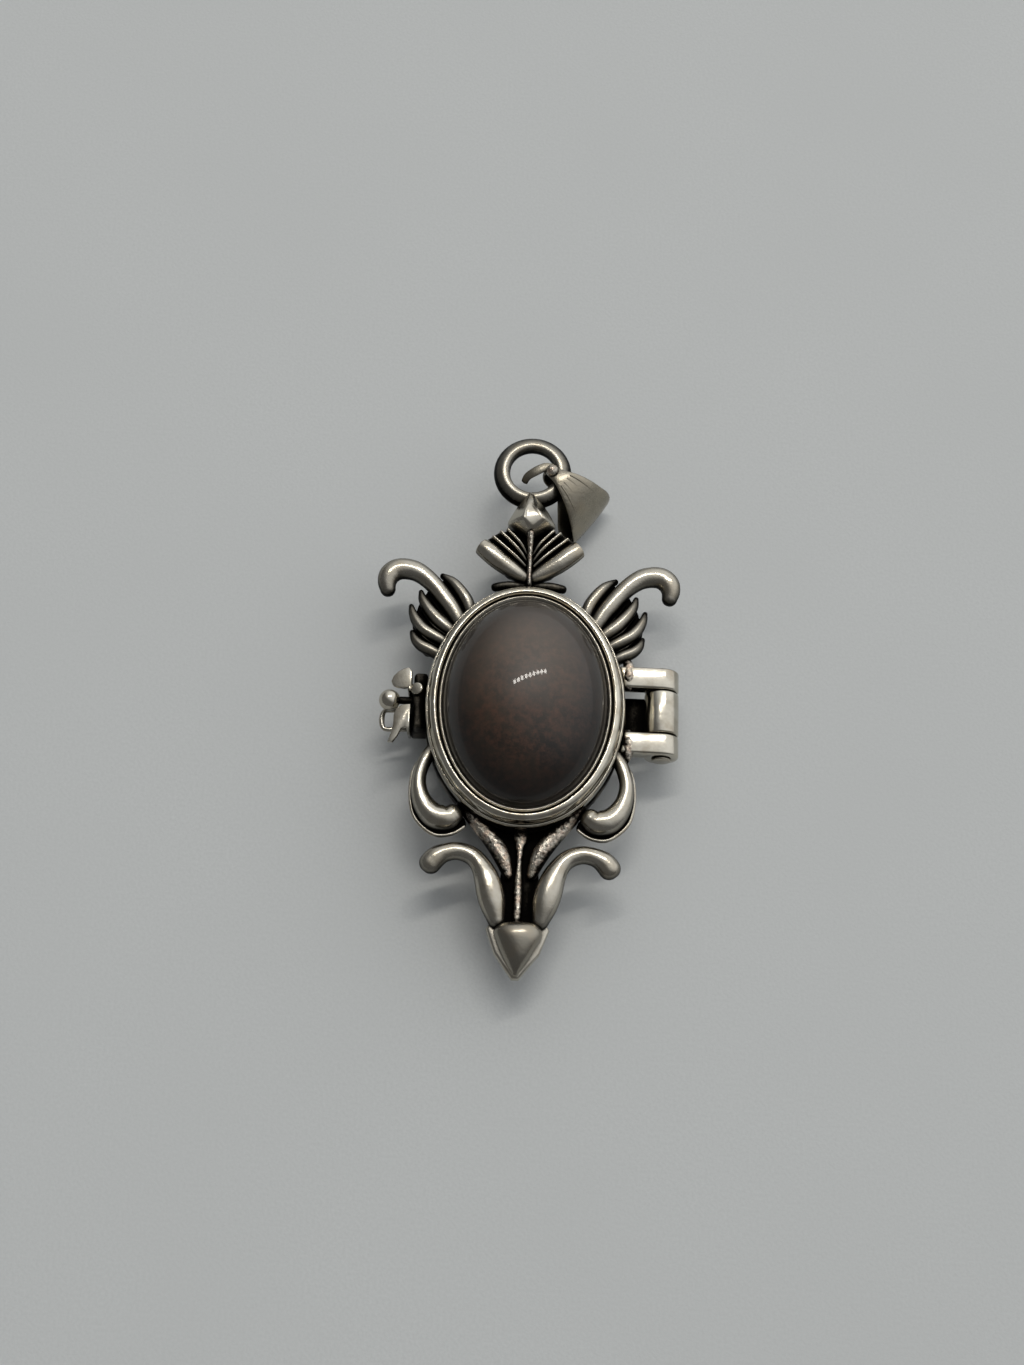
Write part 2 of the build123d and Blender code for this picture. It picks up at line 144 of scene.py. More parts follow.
# A dim room, brightest over the right shoulder, where a window lights the ceiling.
world = bpy.data.worlds.new("dim room")
world.use_nodes = True
room = world.node_tree
outwards = add(room, "ShaderNodeTexCoord").outputs["Generated"]
facing = add(room, "ShaderNodeVectorMath", {"operation": "DOT_PRODUCT"}, {0: outwards})
facing.inputs[1].default_value = WINDOW_SIDE.normalized()
glow = add(room, "ShaderNodeMapRange",
           {"From Min": 0.15, "To Min": ROOM_DARK, "To Max": ROOM_BRIGHT, "interpolation_type": "SMOOTHSTEP"},
           {"Value": facing.outputs["Value"]})
backdrop = room.nodes["Background"]
backdrop.inputs["Color"].default_value = linear("f6f7f8")
room.links.new(glow.outputs["Result"], backdrop.inputs["Strength"])
bpy.context.scene.world = world
bpy.context.scene.view_settings.view_transform = "Standard"

stone_low, stone_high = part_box("stone")
aim = (stone_low + stone_high) / 2 + CAMERA_OFF_STONE
camera_data = bpy.data.cameras.new("camera")
camera_data.lens = LENS
camera_data.sensor_width = 36
camera_data.clip_start = 0.002
camera = bpy.data.objects.new("camera", camera_data)
camera.matrix_world = (Matrix.Translation(aim) @ Matrix.Rotation(CAMERA_TILT, 4, "X")
                       @ Matrix.Rotation(CAMERA_ROLL, 4, "Z") @ Matrix.Translation((0, 0, CAMERA_REACH)))
bpy.context.scene.collection.objects.link(camera)
bpy.context.scene.camera = camera

# ---- Back cup ------------------------------------------------------------------------
# The oval box of the locket, stamped from silver sheet with a rounded edge to its flat
# back, then blackened with liver of sulphur and rubbed bright again where a thumb reaches.
CUP_CORNERS = [(0, 0, 0), (6.9, 0, 0.7), (6.9, 3.25, 0.1), (6.3, 3.25, 0.1), (6.3, 0.8, 0.35), (0, 0.8, 0)]
OVAL_STRETCH = 2.0
TURN_STEPS = 120
CORNER_STEPS = 4


def silver(name, bright, tarnish, reach_mm, grain_mm, relief, cover=(0.30, 0.85), blush=0.0,
           shine=(0.20, 0.5), speckle=0.24, patina_and_shade_band=None):
    """Blackened silver: bright where it is open, tarnished where its own shape shades it.
    reach_mm is how far a recess holds its black, grain_mm and relief are the cast skin's,
    cover is how open a spot is where the black ends and where it is bare, and shine is the
    roughness of bare and of black. blush is how much of the raised skin shows the copper of
    a solder or a rough casting, speckle how strongly its grain breaks up the black, and
    patina_and_shade_band the lowest and highest of the band round the sides that is painted
    dark: partly patina that the polishing cloth never reached, partly painted shade where the
    sides turn away from the light."""
    material, tree, shader, place = new_finish(name)
    skin = add(tree, "ShaderNodeTexNoise", {"Scale": per_mm(grain_mm), "Detail": 4.0, "Roughness": 0.6},
               {"Vector": place})
    patch = add(tree, "ShaderNodeTexNoise", {"Scale": per_mm(1.3), "Detail": 3.0}, {"Vector": place})
    open_sky = add(tree, "ShaderNodeAmbientOcclusion", {"samples": 12, "Distance": reach_mm * MM})
    ragged = add(tree, "ShaderNodeMath", {"operation": "MULTIPLY_ADD"}, {0: patch.outputs["Fac"]})
    ragged.inputs[1].default_value = 0.36
    ragged.inputs[2].default_value = -0.18
    speckled = add(tree, "ShaderNodeMath", {"operation": "MULTIPLY_ADD"}, {0: skin.outputs["Fac"]})
    speckled.inputs[1].default_value = speckle
    speckled.inputs[2].default_value = -speckle / 2
    worn = add(tree, "ShaderNodeMath", {"operation": "ADD"},
               {0: ragged.outputs["Value"], 1: speckled.outputs["Value"]})
    openness = add(tree, "ShaderNodeMath", {"operation": "ADD"},
                   {0: open_sky.outputs["AO"], 1: worn.outputs["Value"]})
    bright_share = add(tree, "ShaderNodeMapRange", {"From Min": cover[0], "From Max": cover[1]},
                  {"Value": openness.outputs["Value"]})
    # The band round the sides is painted dark: partly patina the cloth missed, partly painted shade where the
    # sides turn away from the light.
    if patina_and_shade_band:
        low, high = patina_and_shade_band
        level = add(tree, "ShaderNodeSeparateXYZ", {}, {"Vector": place})
        uneven = add(tree, "ShaderNodeMath", {"operation": "MULTIPLY_ADD"},
                     {0: worn.outputs["Value"], 2: level.outputs["Z"]})
        uneven.inputs[1].default_value = 0.8 * MM
        face = add(tree, "ShaderNodeMapRange", {"From Min": (high - 0.5) * MM, "From Max": high * MM},
                   {"Value": uneven.outputs["Value"]})
        back = add(tree, "ShaderNodeMapRange", {"From Min": (low + 0.2) * MM, "From Max": low * MM},
                   {"Value": uneven.outputs["Value"]})
        rubbed = add(tree, "ShaderNodeMath", {"operation": "ADD", "use_clamp": True},
                     {0: face.outputs["Result"], 1: back.outputs["Result"]})
        bright_share = add(tree, "ShaderNodeMath", {"operation": "MULTIPLY"},
                      {0: bright_share.outputs["Result"], 1: rubbed.outputs["Value"]})
    bare = bright_share.outputs[0]
    tint = add(tree, "ShaderNodeMixRGB", {"Color1": linear(bright), "Color2": linear("9c9280")})
    warm = add(tree, "ShaderNodeMapRange", {"From Min": 0.45, "From Max": 0.75, "To Max": 0.8},
               {"Value": patch.outputs["Fac"]})
    tree.links.new(warm.outputs["Result"], tint.inputs["Fac"])
    metal = tint
    if blush:
        rust = add(tree, "ShaderNodeTexNoise", {"Scale": per_mm(0.5), "Detail": 4.0}, {"Vector": place})
        spots = add(tree, "ShaderNodeMapRange", {"From Min": 0.46, "From Max": 0.60, "To Max": blush},
                    {"Value": rust.outputs["Fac"]})
        metal = add(tree, "ShaderNodeMixRGB", {"Color2": linear("d3a183")},
                    {"Fac": spots.outputs["Result"], "Color1": tint.outputs["Color"]})
    colour = add(tree, "ShaderNodeMixRGB", {"Color1": linear(tarnish)},
                 {"Fac": bare, "Color2": metal.outputs["Color"]})
    rough = add(tree, "ShaderNodeMapRange", {"To Min": shine[1], "To Max": shine[0]},
                {"Value": bare})
    waves = add(tree, "ShaderNodeTexNoise", {"Scale": per_mm(1.1), "Detail": 1.0}, {"Vector": place})
    wavy = add(tree, "ShaderNodeBump", {"Strength": 0.5, "Distance": 0.06 * MM},
               {"Height": waves.outputs["Fac"]})
    fine = add(tree, "ShaderNodeBump", {"Strength": relief, "Distance": grain_mm * MM * 0.25},
               {"Height": skin.outputs["Fac"], "Normal": wavy.outputs["Normal"]})
    tree.links.new(colour.outputs["Color"], shader.inputs["Base Color"])
    tree.links.new(rough.outputs["Result"], shader.inputs["Roughness"])
    tree.links.new(fine.outputs["Normal"], shader.inputs["Normal"])
    shader.inputs["Metallic"].default_value = 1.0
    return material


# Rubbed sheet silver: smooth, a warm grey mirror with faint haze, black in its corners.
sheet_silver = silver("rubbed sheet silver", "b9b4a8", "14120f", 1.0, 0.30, 0.15)


def turned(corners):
    """A closed or open section in (radius, height, rounding), turned once about Z."""
    bm = bmesh.new()
    spots = [bm.verts.new((radius, 0, height)) for radius, height, rounding in corners]
    bm.faces.new(spots)
    for spot, (radius, height, rounding) in zip(spots, corners):
        if rounding:
            bmesh.ops.bevel(bm, geom=[spot], affect="VERTICES", offset=rounding, segments=CORNER_STEPS,
                            profile=0.5, material=-1)
    on_axis = [e for e in bm.edges if all(v.co.x < 0.001 for v in e.verts)]
    bmesh.ops.delete(bm, geom=list(bm.faces), context="FACES_ONLY")
    bmesh.ops.delete(bm, geom=on_axis, context="EDGES")
    bmesh.ops.spin(bm, geom=bm.verts[:] + bm.edges[:], axis=(0, 0, 1), cent=(0, 0, 0), angle=2 * pi,
                   steps=TURN_STEPS, use_merge=True)
    return bm


def into_oval(bm, core):
    """Turns round work oval: rings outside the core keep their width all the way round."""
    for v in bm.verts:
        v.co.y *= 1 + OVAL_STRETCH / max(hypot(v.co.x, v.co.y), core)


def make(name, bm, finish, body, nodes=(), smoothing=0, crease=50):
    """The finished piece, from millimetres to metres, riding on its body."""
    bmesh.ops.remove_doubles(bm, verts=bm.verts, dist=0.0005)
    bmesh.ops.recalc_face_normals(bm, faces=bm.faces)
    bmesh.ops.scale(bm, vec=(MM, MM, MM), verts=bm.verts)
    mesh = bpy.data.meshes.new(name)
    bm.to_mesh(mesh)
    bm.free()
    mesh.shade_smooth()
    mesh.materials.append(finish)
    piece = bpy.data.objects.new(name, mesh)
    bpy.context.scene.collection.objects.link(piece)
    if smoothing:
        rounding = piece.modifiers.new("smoothing", "SUBSURF")
        rounding.levels = smoothing
        rounding.render_levels = smoothing
    else:
        mesh.set_sharp_from_angle(angle=radians(crease))
    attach(piece, body)
    if nodes:
        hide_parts(*nodes)
    return piece


bm = turned(CUP_CORNERS)
into_oval(bm, 6.3)
make("cup_shell", bm, sheet_silver, "back", ["back_cup"])

# ---- Lid plate and locating lip ------------------------------------------------------
# A flat oval plate of thick sheet closes the cup; the lip under it drops inside the cup's
# wall so that the lid can't slide. Both are sawn from sheet and soldered together.
# Blackened ground: silver painted dark all over but for its high grains: partly patina left in the recesses,
# partly painted shade where these pieces lie under and between others.
black_ground_and_shade = silver("blackened silver ground with painted shade", "8d867a", "080706", 1.2, 0.20, 0.8, cover=(0.80, 1.35),
                      shine=(0.3, 0.6))
PLATE_CORNERS = [(0, 3.3, 0), (7.3, 3.3, 0.08), (7.3, 4.3, 0.15), (0, 4.3, 0)]
LIP_CORNERS = [(5.65, 2.6, 0.08), (6.15, 2.6, 0.08), (6.15, 3.3, 0), (5.65, 3.3, 0)]

bm = turned(PLATE_CORNERS)
into_oval(bm, 5.65)
make("lid_plate", bm, black_ground_and_shade, "lid", ["frame_plate"])
bm = turned(LIP_CORNERS)
into_oval(bm, 5.65)
make("lid_lip", bm, sheet_silver, "lid", ["locating_lip"])

# ---- Setting: bezel wall and rim -----------------------------------------------------
# A thin strip of fine silver is burnished over the stone's edge, and a heavier moulded rim
# is soldered round it: a round bead with a narrow step outside, with black between them.
WALL_CORNERS = [(6.03, 4.3, 0), (6.25, 4.3, 0), (6.25, 5.98, 0.05), (6.1, 6.12, 0.05), (5.88, 5.98, 0.03),
                (5.93, 5.7, 0.02)]
RIM_CORNERS = [(6.27, 4.3, 0), (7.2, 4.3, 0), (7.2, 5.4, 0.14), (7.04, 5.5, 0.05), (6.99, 5.38, 0.02),
               (6.97, 5.8, 0.26), (6.72, 6.26, 0.26), (6.42, 6.28, 0.16), (6.29, 5.95, 0.08)]
# Burnished rim silver: the brightest and smoothest skin, with only faint rubbing marks.
rim_silver = silver("burnished rim silver", "c2bdb0", "0f0d0b", 0.7, 0.22, 0.12, cover=(0.20, 0.60),
                    shine=(0.16, 0.5))

bm = turned(WALL_CORNERS)
into_oval(bm, 6.0)
make("setting_wall", bm, sheet_silver, "lid", ["bezel_wall"])
bm = turned(RIM_CORNERS)
into_oval(bm, 6.0)
make("setting_rim", bm, rim_silver, "lid", ["bezel_rim"])

# ---- Stone ---------------------------------------------------------------------------
# An oval cabochon of grey-brown jasper, sawn, domed and polished to a glassy face. It is
# nearly opaque, with soft clouds and rusty grains; its colour is lightened towards its upper
# end with a painted reflection and darkened towards its edge with painted shade.
STONE_RADIUS = 6.0
GIRDLE_FOOT = 4.3
GIRDLE_TOP = 5.2
DOME_RISE = 4.5
DOME_STEPS = 20
STONE_STRETCH = 8.0 / 6.0

climb = [pi / 2 * k / DOME_STEPS for k in range(DOME_STEPS)]
dome = [(STONE_RADIUS * cos(a), GIRDLE_TOP + DOME_RISE * sin(a), 0) for a in climb]
bm = turned([(0, GIRDLE_FOOT, 0), (STONE_RADIUS, GIRDLE_FOOT, 0), *dome, (0, GIRDLE_TOP + DOME_RISE, 0)])
bmesh.ops.scale(bm, vec=(1, STONE_STRETCH, 1), verts=bm.verts)

# Polished jasper: a glassy surface over fine clouds of grey, brown and rust. They are darkened
# towards the edge with painted shade, where the dome slopes away from the eye, and lightened
# towards the upper end with a painted reflection of the bright room.
jasper, tree, shader, place = new_finish("polished jasper")
clouds = add(tree, "ShaderNodeTexNoise", {"Scale": per_mm(5), "Detail": 5.0, "Roughness": 0.6},
             {"Vector": place})
grains = add(tree, "ShaderNodeTexNoise", {"Scale": per_mm(0.55), "Detail": 4.0, "Roughness": 0.7},
             {"Vector": place})
cloudy = add(tree, "ShaderNodeMapRange", {"From Min": 0.38, "From Max": 0.62},
             {"Value": clouds.outputs["Fac"]})
base = add(tree, "ShaderNodeMixRGB", {"Color1": linear("201a15"), "Color2": linear("3e3329")},
           {"Fac": cloudy.outputs["Result"]})
granular = add(tree, "ShaderNodeMapRange", {"From Min": 0.42, "From Max": 0.66, "To Max": 0.75},
               {"Value": grains.outputs["Fac"]})
mottled = add(tree, "ShaderNodeMixRGB", {"Color2": linear("553a2d")},
              {"Fac": granular.outputs["Result"], "Color1": base.outputs["Color"]})
part = add(tree, "ShaderNodeSeparateXYZ", {}, {"Vector": place})
# Painted reflection: the colour lightens towards the stone's upper end.
painted_haze_mask = add(tree, "ShaderNodeMapRange", {"From Min": -2 * MM, "From Max": 7 * MM, "To Max": 0.75},
               {"Value": part.outputs["Y"]})
with_painted_haze = add(tree, "ShaderNodeMixRGB", {"Color2": linear("766b60")},
           {"Fac": painted_haze_mask.outputs["Result"], "Color1": mottled.outputs["Color"]})
across = 1 / (STONE_RADIUS * MM)
disc = add(tree, "ShaderNodeMapping", {"vector_type": "POINT", "Scale": (across, across / STONE_STRETCH, 0)},
           {"Vector": place})
reach = add(tree, "ShaderNodeVectorMath", {"operation": "LENGTH"}, {0: disc.outputs["Vector"]})
# Painted shade: the colour darkens towards the stone's edge.
painted_edge_shade = add(tree, "ShaderNodeMapRange",
                {"From Min": 0.35, "From Max": 1.0, "To Max": 0.9, "interpolation_type": "SMOOTHSTEP"},
                {"Value": reach.outputs["Value"]})
with_painted_shade = add(tree, "ShaderNodeMixRGB", {"Color2": linear("0b0807")},
           {"Fac": painted_edge_shade.outputs["Result"], "Color1": with_painted_haze.outputs["Color"]})
tree.links.new(with_painted_shade.outputs["Color"], shader.inputs["Base Color"])
shader.inputs["Roughness"].default_value = 0.42
shader.inputs["Specular IOR Level"].default_value = 0.25
shader.inputs["IOR"].default_value = 1.54
shader.inputs["Coat Weight"].default_value = 1.0
shader.inputs["Coat IOR"].default_value = 1.26
shader.inputs["Coat Roughness"].default_value = 0.03
make("cabochon", bm, jasper, "lid", ["stone"])

# ---- Hinge ---------------------------------------------------------------------------
# Two cast arms of the lid are rolled into the outer knuckles, and a strap of the cup into
# the middle one. A hard wire pin runs through all three and is peened over at both ends.
HINGE_X, HINGE_Y, HINGE_Z = 9.95, 0.2, 3.3
KNUCKLE_RADIUS = 1.25
KNUCKLE_LENGTH = 3.2
ARM_EDGE = 0.32
STRAP = [(6.4, -1.3), (9.4, -1.3), (9.4, 1.7), (6.4, 1.7)]
SOLDER_GRAINS = [(7.35, 0.35, 4.35, 0.36, 0.2), (7.45, 1.0, 4.5, 0.44, 0.2), (7.48, 1.6, 4.5, 0.44, 0.2),
                 (7.4, 2.2, 4.35, 0.36, 0.22), (7.3, 2.5, 4.15, 0.26, 0.22)]
# Cast silver: a skin a little uneven to the touch, black in its pits and bright on top; a band round its
# sides is painted dark, partly patina and partly painted shade.
cast_silver = silver("cast silver", "b3aea2", "0b0a08", 1.2, 0.16, 0.30, cover=(0.34, 0.80),
                     patina_and_shade_band=(3.6, 4.85))
# Rough solder: torch-run silver solder, grainy and tinged with copper where it wicked.
rough_silver = silver("rough soldered silver", "c4beb2", "0d0a08", 1.0, 0.26, 1.2, cover=(0.74, 1.04),
                      blush=0.25, shine=(0.18, 0.55), speckle=1.0)


def filed(node, edge, steps=3):
    """A copy of a node's shape in millimetres, with its sharp edges filed round."""
    bm = bmesh.new()
    bm.from_mesh(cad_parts[node].data)
    bmesh.ops.scale(bm, vec=(1000, 1000, 1000), verts=bm.verts)
    bmesh.ops.remove_doubles(bm, verts=bm.verts, dist=0.0005)
    bmesh.ops.dissolve_limit(bm, angle_limit=radians(1), verts=bm.verts, edges=bm.edges)
    sharp = [e for e in bm.edges if e.is_manifold and e.calc_face_angle(0) > radians(32)]
    if edge:
        bmesh.ops.bevel(bm, geom=sharp, affect="EDGES", offset=edge, segments=steps, profile=0.5, material=-1,
                        clamp_overlap=True)
    return bm


UP = Vector((0, 0, 1))
BAR_SIDES = 12
PATH_STEPS = 4
END_STEPS = (0.97, 0.87, 0.64, 0.3)


def eased(stations):
    """More stations between the given ones, on a smooth curve through all of them."""
    ends = [stations[0], *stations, stations[-1]]
    between = []
    for a, b, c, d in zip(ends, ends[1:], ends[2:], ends[3:]):
        for t in (k / PATH_STEPS for k in range(PATH_STEPS)):
            between.append(tuple(
                q + t * ((r - p) + t * ((2 * p - 5 * q + 4 * r - s) + t * (3 * q - p - 3 * r + s))) / 2
                for p, q, r, s in zip(a, b, c, d)))
    return between + [tuple(stations[-1])]


def bar(bm, stations, side=1, sides=BAR_SIDES, blunt=(1, 1), flat=None):
    """A round-ended bar through stations of (x, y, z, half width, half height).
    Its width lies level, or along flat where that is given, as in a folded strip."""
    path = eased(stations)
    spots = [Vector((side * p[0], p[1], p[2])) for p in path]
    sizes = [Vector(p[3:]) for p in path]
    backwards, onwards = (spots[0] - spots[1]).normalized(), (spots[-1] - spots[-2]).normalized()
    first, last = (spots[0], sizes[0]), (spots[-1], sizes[-1])
    rings = list(zip(spots, sizes))
    for share in END_STEPS:
        rise = (1 - share * share) ** 0.5
        rings.insert(0, (first[0] + backwards * rise * min(first[1]) * blunt[0], first[1] * share))
        rings.append((last[0] + onwards * rise * min(last[1]) * blunt[1], last[1] * share))
    full = 3 / (2 + cos(2 * pi / sides))
    for k, (spot, size) in enumerate(rings):
        along = (rings[min(k + 1, len(rings) - 1)][0] - rings[max(k - 1, 0)][0]).normalized()
        across = flat or UP.cross(along).normalized()
        over = along.cross(across).normalized()
        place = Matrix((across * size[0], over * size[1], along)).transposed().to_4x4()
        place.translation = spot
        if k == 0:
            loop = bmesh.ops.create_circle(bm, cap_ends=True, segments=sides, radius=full,
                                           matrix=place)["verts"]
            cap = loop[0].link_faces[0]
        else:
            grown = bmesh.ops.extrude_face_region(bm, geom=[cap])["geom"]
            if k > 1 and cap.is_valid:
                bmesh.ops.delete(bm, geom=[cap], context="FACES_ONLY")
            loop = [g for g in grown if isinstance(g, bmesh.types.BMVert)]
            cap = next(g for g in grown if isinstance(g, bmesh.types.BMFace))
            bmesh.ops.transform(bm, matrix=place @ held.inverted(), verts=loop)
        held = place
    return bm


def slab(bm, corners, low, high, side=1, edge=0.12):
    """A plate cut to corner points, its upper edge rounded."""
    spots = [bm.verts.new((side * x, y, low)) for x, y in corners]
    foot = bm.faces.new(spots)
    raised = bmesh.ops.extrude_face_region(bm, geom=[foot], use_keep_orig=True)["geom"]
    top = [g for g in raised if isinstance(g, bmesh.types.BMVert)]
    bmesh.ops.translate(bm, vec=(0, 0, high - low), verts=top)
    rim = [e for e in bm.edges if all(v in top for v in e.verts)]
    bmesh.ops.bevel(bm, geom=rim, affect="EDGES", offset=edge, segments=3, profile=0.5, material=-1)
    return bm


def barrel(bm, middle, radius, length, axis, edge):
    """A turned cylinder about an axis through its middle, its two ends eased."""
    place = Matrix.Translation(middle) @ Vector(axis).to_track_quat("Z", "Y").to_matrix().to_4x4()
    bmesh.ops.create_cone(bm, cap_ends=True, segments=64, radius1=radius, radius2=radius, depth=length,
                          matrix=place)
    ends = [e for e in bm.edges if e.is_manifold and e.calc_face_angle(0) > radians(60)]
    bmesh.ops.bevel(bm, geom=ends, affect="EDGES", offset=edge, segments=3, profile=0.5, material=-1)
    return bm


for hand, turn in (("upper", 1), ("lower", -1)):
    arm = filed(f"hinge_ear_{hand}", ARM_EDGE)
    make(f"hinge_arm_{hand}", arm, rim_silver, "lid", [f"hinge_ear_{hand}"], crease=40)
    run = [(x, HINGE_Y + turn * (1.35 + y), z, w, h) for x, y, z, w, h in SOLDER_GRAINS]
    make(f"hinge_solder_{hand}", bar(bmesh.new(), run), rough_silver, "lid", [f"hinge_ear_{hand}"],
         smoothing=1)
make("hinge_strap", slab(bmesh.new(), STRAP, 2.3, 2.75), black_ground_and_shade, "back", ["hinge_leaf"])
knuckle = barrel(bmesh.new(), (HINGE_X, HINGE_Y, HINGE_Z), KNUCKLE_RADIUS, KNUCKLE_LENGTH, (0, 1, 0), 0.14)
make("hinge_knuckle", knuckle, rim_silver, "back", ["hinge_leaf"], crease=40)
make("hinge_wire", filed("hinge_pin", 0.1), sheet_silver, "lid", ["hinge_pin"], crease=30)

# ---- Catch ---------------------------------------------------------------------------
# A turned ball on a thin neck stands out from the lid's lug and drops into the notch of a
# springy fork of thin sheet on the cup; a low wire loop gives a thumbnail a hold on it.
BALL_CENTRE = Vector((-9.83, 0.4, 4.2))
BALL_RADIUS = 0.78
NECK_RADIUS = 0.28
NECK_LENGTH = 1.7
NECK_MIDDLE = Vector((0.95, 0, 0))
FORK_FACE = -8.38
FORK_SHEET = 0.22
FORK_UPPER = [(1.5, 1.2), (1.9, 3.4), (2.35, 4.5), (2.2, 4.9), (0.95, 4.95), (0.86, 4.2), (0.83, 3.4),
              (0.4, 3.2), (0.4, 1.2)]
FORK_LOWER = [(-0.1, 1.2), (-0.1, 3.2), (-0.06, 3.7), (-0.06, 4.8), (-1.9, 4.75), (-1.9, 3.3), (-1.5, 1.2)]
PETAL_HIGH = [(-8.28, 1.2), (-8.28, 2.4), (-8.5, 2.72), (-8.9, 2.66), (-9.3, 2.45), (-9.65, 2.1),
              (-9.8, 1.7), (-9.65, 1.35), (-9.3, 1.2), (-8.8, 1.12)]
PETAL_LOW = [(-8.28, -1.9), (-8.28, -0.1), (-8.9, -0.12), (-9.35, -0.4), (-9.5, -0.9), (-9.5, -1.6),
             (-9.65, -2.3), (-9.85, -2.9), (-9.5, -2.95), (-9.15, -2.45), (-8.9, -1.95), (-8.6, -1.85)]
PETAL_LEVEL = 4.95
PETAL_DROOP = radians(-12)
LUG_RIVET = Vector((-7.82, 1.1, 4.8))
RIVET_RADIUS = 0.46
RIVET_LENGTH = 0.5
RIVET_LEAN = (-0.35, 0, 1)
LOOP = [(-8.5, 0.0, 3.0, 0.17, 0.17), (-9.7, 0.02, 3.0, 0.17, 0.17), (-10.25, -0.08, 3.0, 0.17, 0.17),
        (-10.4, -0.7, 3.0, 0.21, 0.17), (-10.25, -1.35, 3.0, 0.17, 0.17), (-9.7, -1.45, 3.0, 0.17, 0.17),
        (-8.5, -1.4, 3.0, 0.17, 0.17)]


def upright(bm, corners, face_x, thick, edge):
    """A sheet cut to (y, z) corners, standing across X, with eased edges."""
    spots = [bm.verts.new((face_x - thick / 2, y, z)) for y, z in corners]
    sheet = bm.faces.new(spots)
    raised = bmesh.ops.extrude_face_region(bm, geom=[sheet], use_keep_orig=True)["geom"]
    front = [g for g in raised if isinstance(g, bmesh.types.BMVert)]
    bmesh.ops.translate(bm, vec=(thick, 0, 0), verts=front)
    bmesh.ops.recalc_face_normals(bm, faces=bm.faces)
    rim = [e for e in bm.edges if e.calc_face_angle(0) > radians(10)]
    bmesh.ops.bevel(bm, geom=rim, affect="EDGES", offset=edge, segments=3, profile=0.5, material=-1)
    return bm


make("catch_block", filed("catch_lug", 0.3), black_ground_and_shade, "lid", ["catch_lug"], crease=40)
rivet = barrel(bmesh.new(), LUG_RIVET, RIVET_RADIUS, RIVET_LENGTH, RIVET_LEAN, 0.12)
make("catch_rivet", rivet, rim_silver, "lid", ["catch_lug"])
make("catch_foot", filed("latch_bracket", 0.12), black_ground_and_shade, "back", ["latch_bracket"], crease=30)
bm = upright(bmesh.new(), FORK_UPPER, FORK_FACE, FORK_SHEET, 0.06)
upright(bm, FORK_LOWER, FORK_FACE, FORK_SHEET, 0.06)
make("catch_fork", bm, rim_silver, "back", ["latch_fork"], crease=50)
for name, petal in (("high", PETAL_HIGH), ("low", PETAL_LOW)):
    bm = slab(bmesh.new(), petal[::-1], PETAL_LEVEL - FORK_SHEET, PETAL_LEVEL, 1, 0.07)
    droop = Matrix.Rotation(PETAL_DROOP, 3, "Y")
    bmesh.ops.rotate(bm, cent=(FORK_FACE, 0, PETAL_LEVEL), matrix=droop, verts=bm.verts)
    make(f"catch_petal_{name}", bm, rim_silver, "back", ["latch_fork"], crease=50)
make("catch_loop", bar(bmesh.new(), LOOP, 1, 8), cast_silver, "back", ["latch_thumb_loop"], smoothing=1)
bm = bmesh.new()
bmesh.ops.create_uvsphere(bm, u_segments=48, v_segments=32, radius=BALL_RADIUS,
                          matrix=Matrix.Translation(BALL_CENTRE))
make("catch_ball", bm, rim_silver, "lid", ["catch_ball_pin"], crease=180)
neck = barrel(bmesh.new(), BALL_CENTRE + NECK_MIDDLE, NECK_RADIUS, NECK_LENGTH, (1, 0, 0), 0.04)
make("catch_neck", neck, black_ground_and_shade, "lid", ["catch_ball_pin"])

# ---- Wings ---------------------------------------------------------------------------
# Each wing is one casting: a round horn that curls over at its tip, and four feathers that
# fan out below it from the setting, with grooves between their rounded backs whose black is
# partly patina and partly painted shade.
HORN = [(4.9, 6.5, 4.1, 0.62, 0.62), (5.4, 7.4, 4.15, 0.64, 0.64), (6.0, 8.25, 4.2, 0.66, 0.66),
        (6.95, 9.45, 4.2, 0.66, 0.66), (7.7, 10.15, 4.2, 0.70, 0.68), (8.45, 10.6, 4.2, 0.76, 0.70),
        (9.3, 10.75, 4.2, 0.80, 0.72), (9.95, 10.6, 4.2, 0.82, 0.72), (10.38, 10.15, 4.2, 0.80, 0.72),
        (10.5, 9.6, 4.15, 0.70, 0.68), (10.42, 9.1, 4.1, 0.58, 0.6)]
FEATHERS = [
    [(4.15, 7.2, 4.1, 0.46, 0.6), (4.5, 8.25, 4.2, 0.48, 0.6), (5.0, 9.05, 4.2, 0.46, 0.56),
     (5.65, 9.8, 4.15, 0.40, 0.48), (6.4, 10.3, 4.05, 0.22, 0.34)],
    [(5.3, 5.7, 4.1, 0.46, 0.6), (6.15, 6.35, 4.2, 0.50, 0.6), (6.8, 6.95, 4.2, 0.50, 0.58),
     (7.4, 7.7, 4.15, 0.44, 0.52), (7.8, 8.4, 4.1, 0.34, 0.42), (7.95, 8.95, 4.05, 0.2, 0.3)],
    [(5.9, 4.95, 4.1, 0.44, 0.6), (6.9, 5.5, 4.2, 0.46, 0.58), (7.6, 5.95, 4.2, 0.46, 0.56),
     (8.15, 6.6, 4.15, 0.42, 0.5), (8.48, 7.25, 4.1, 0.32, 0.42), (8.62, 7.8, 4.05, 0.2, 0.3)],
    [(6.3, 4.0, 4.1, 0.42, 0.55), (7.1, 4.4, 4.15, 0.44, 0.55), (7.75, 4.72, 4.15, 0.42, 0.52),
     (8.22, 5.2, 4.1, 0.34, 0.44), (8.45, 5.75, 4.05, 0.2, 0.3)],
]
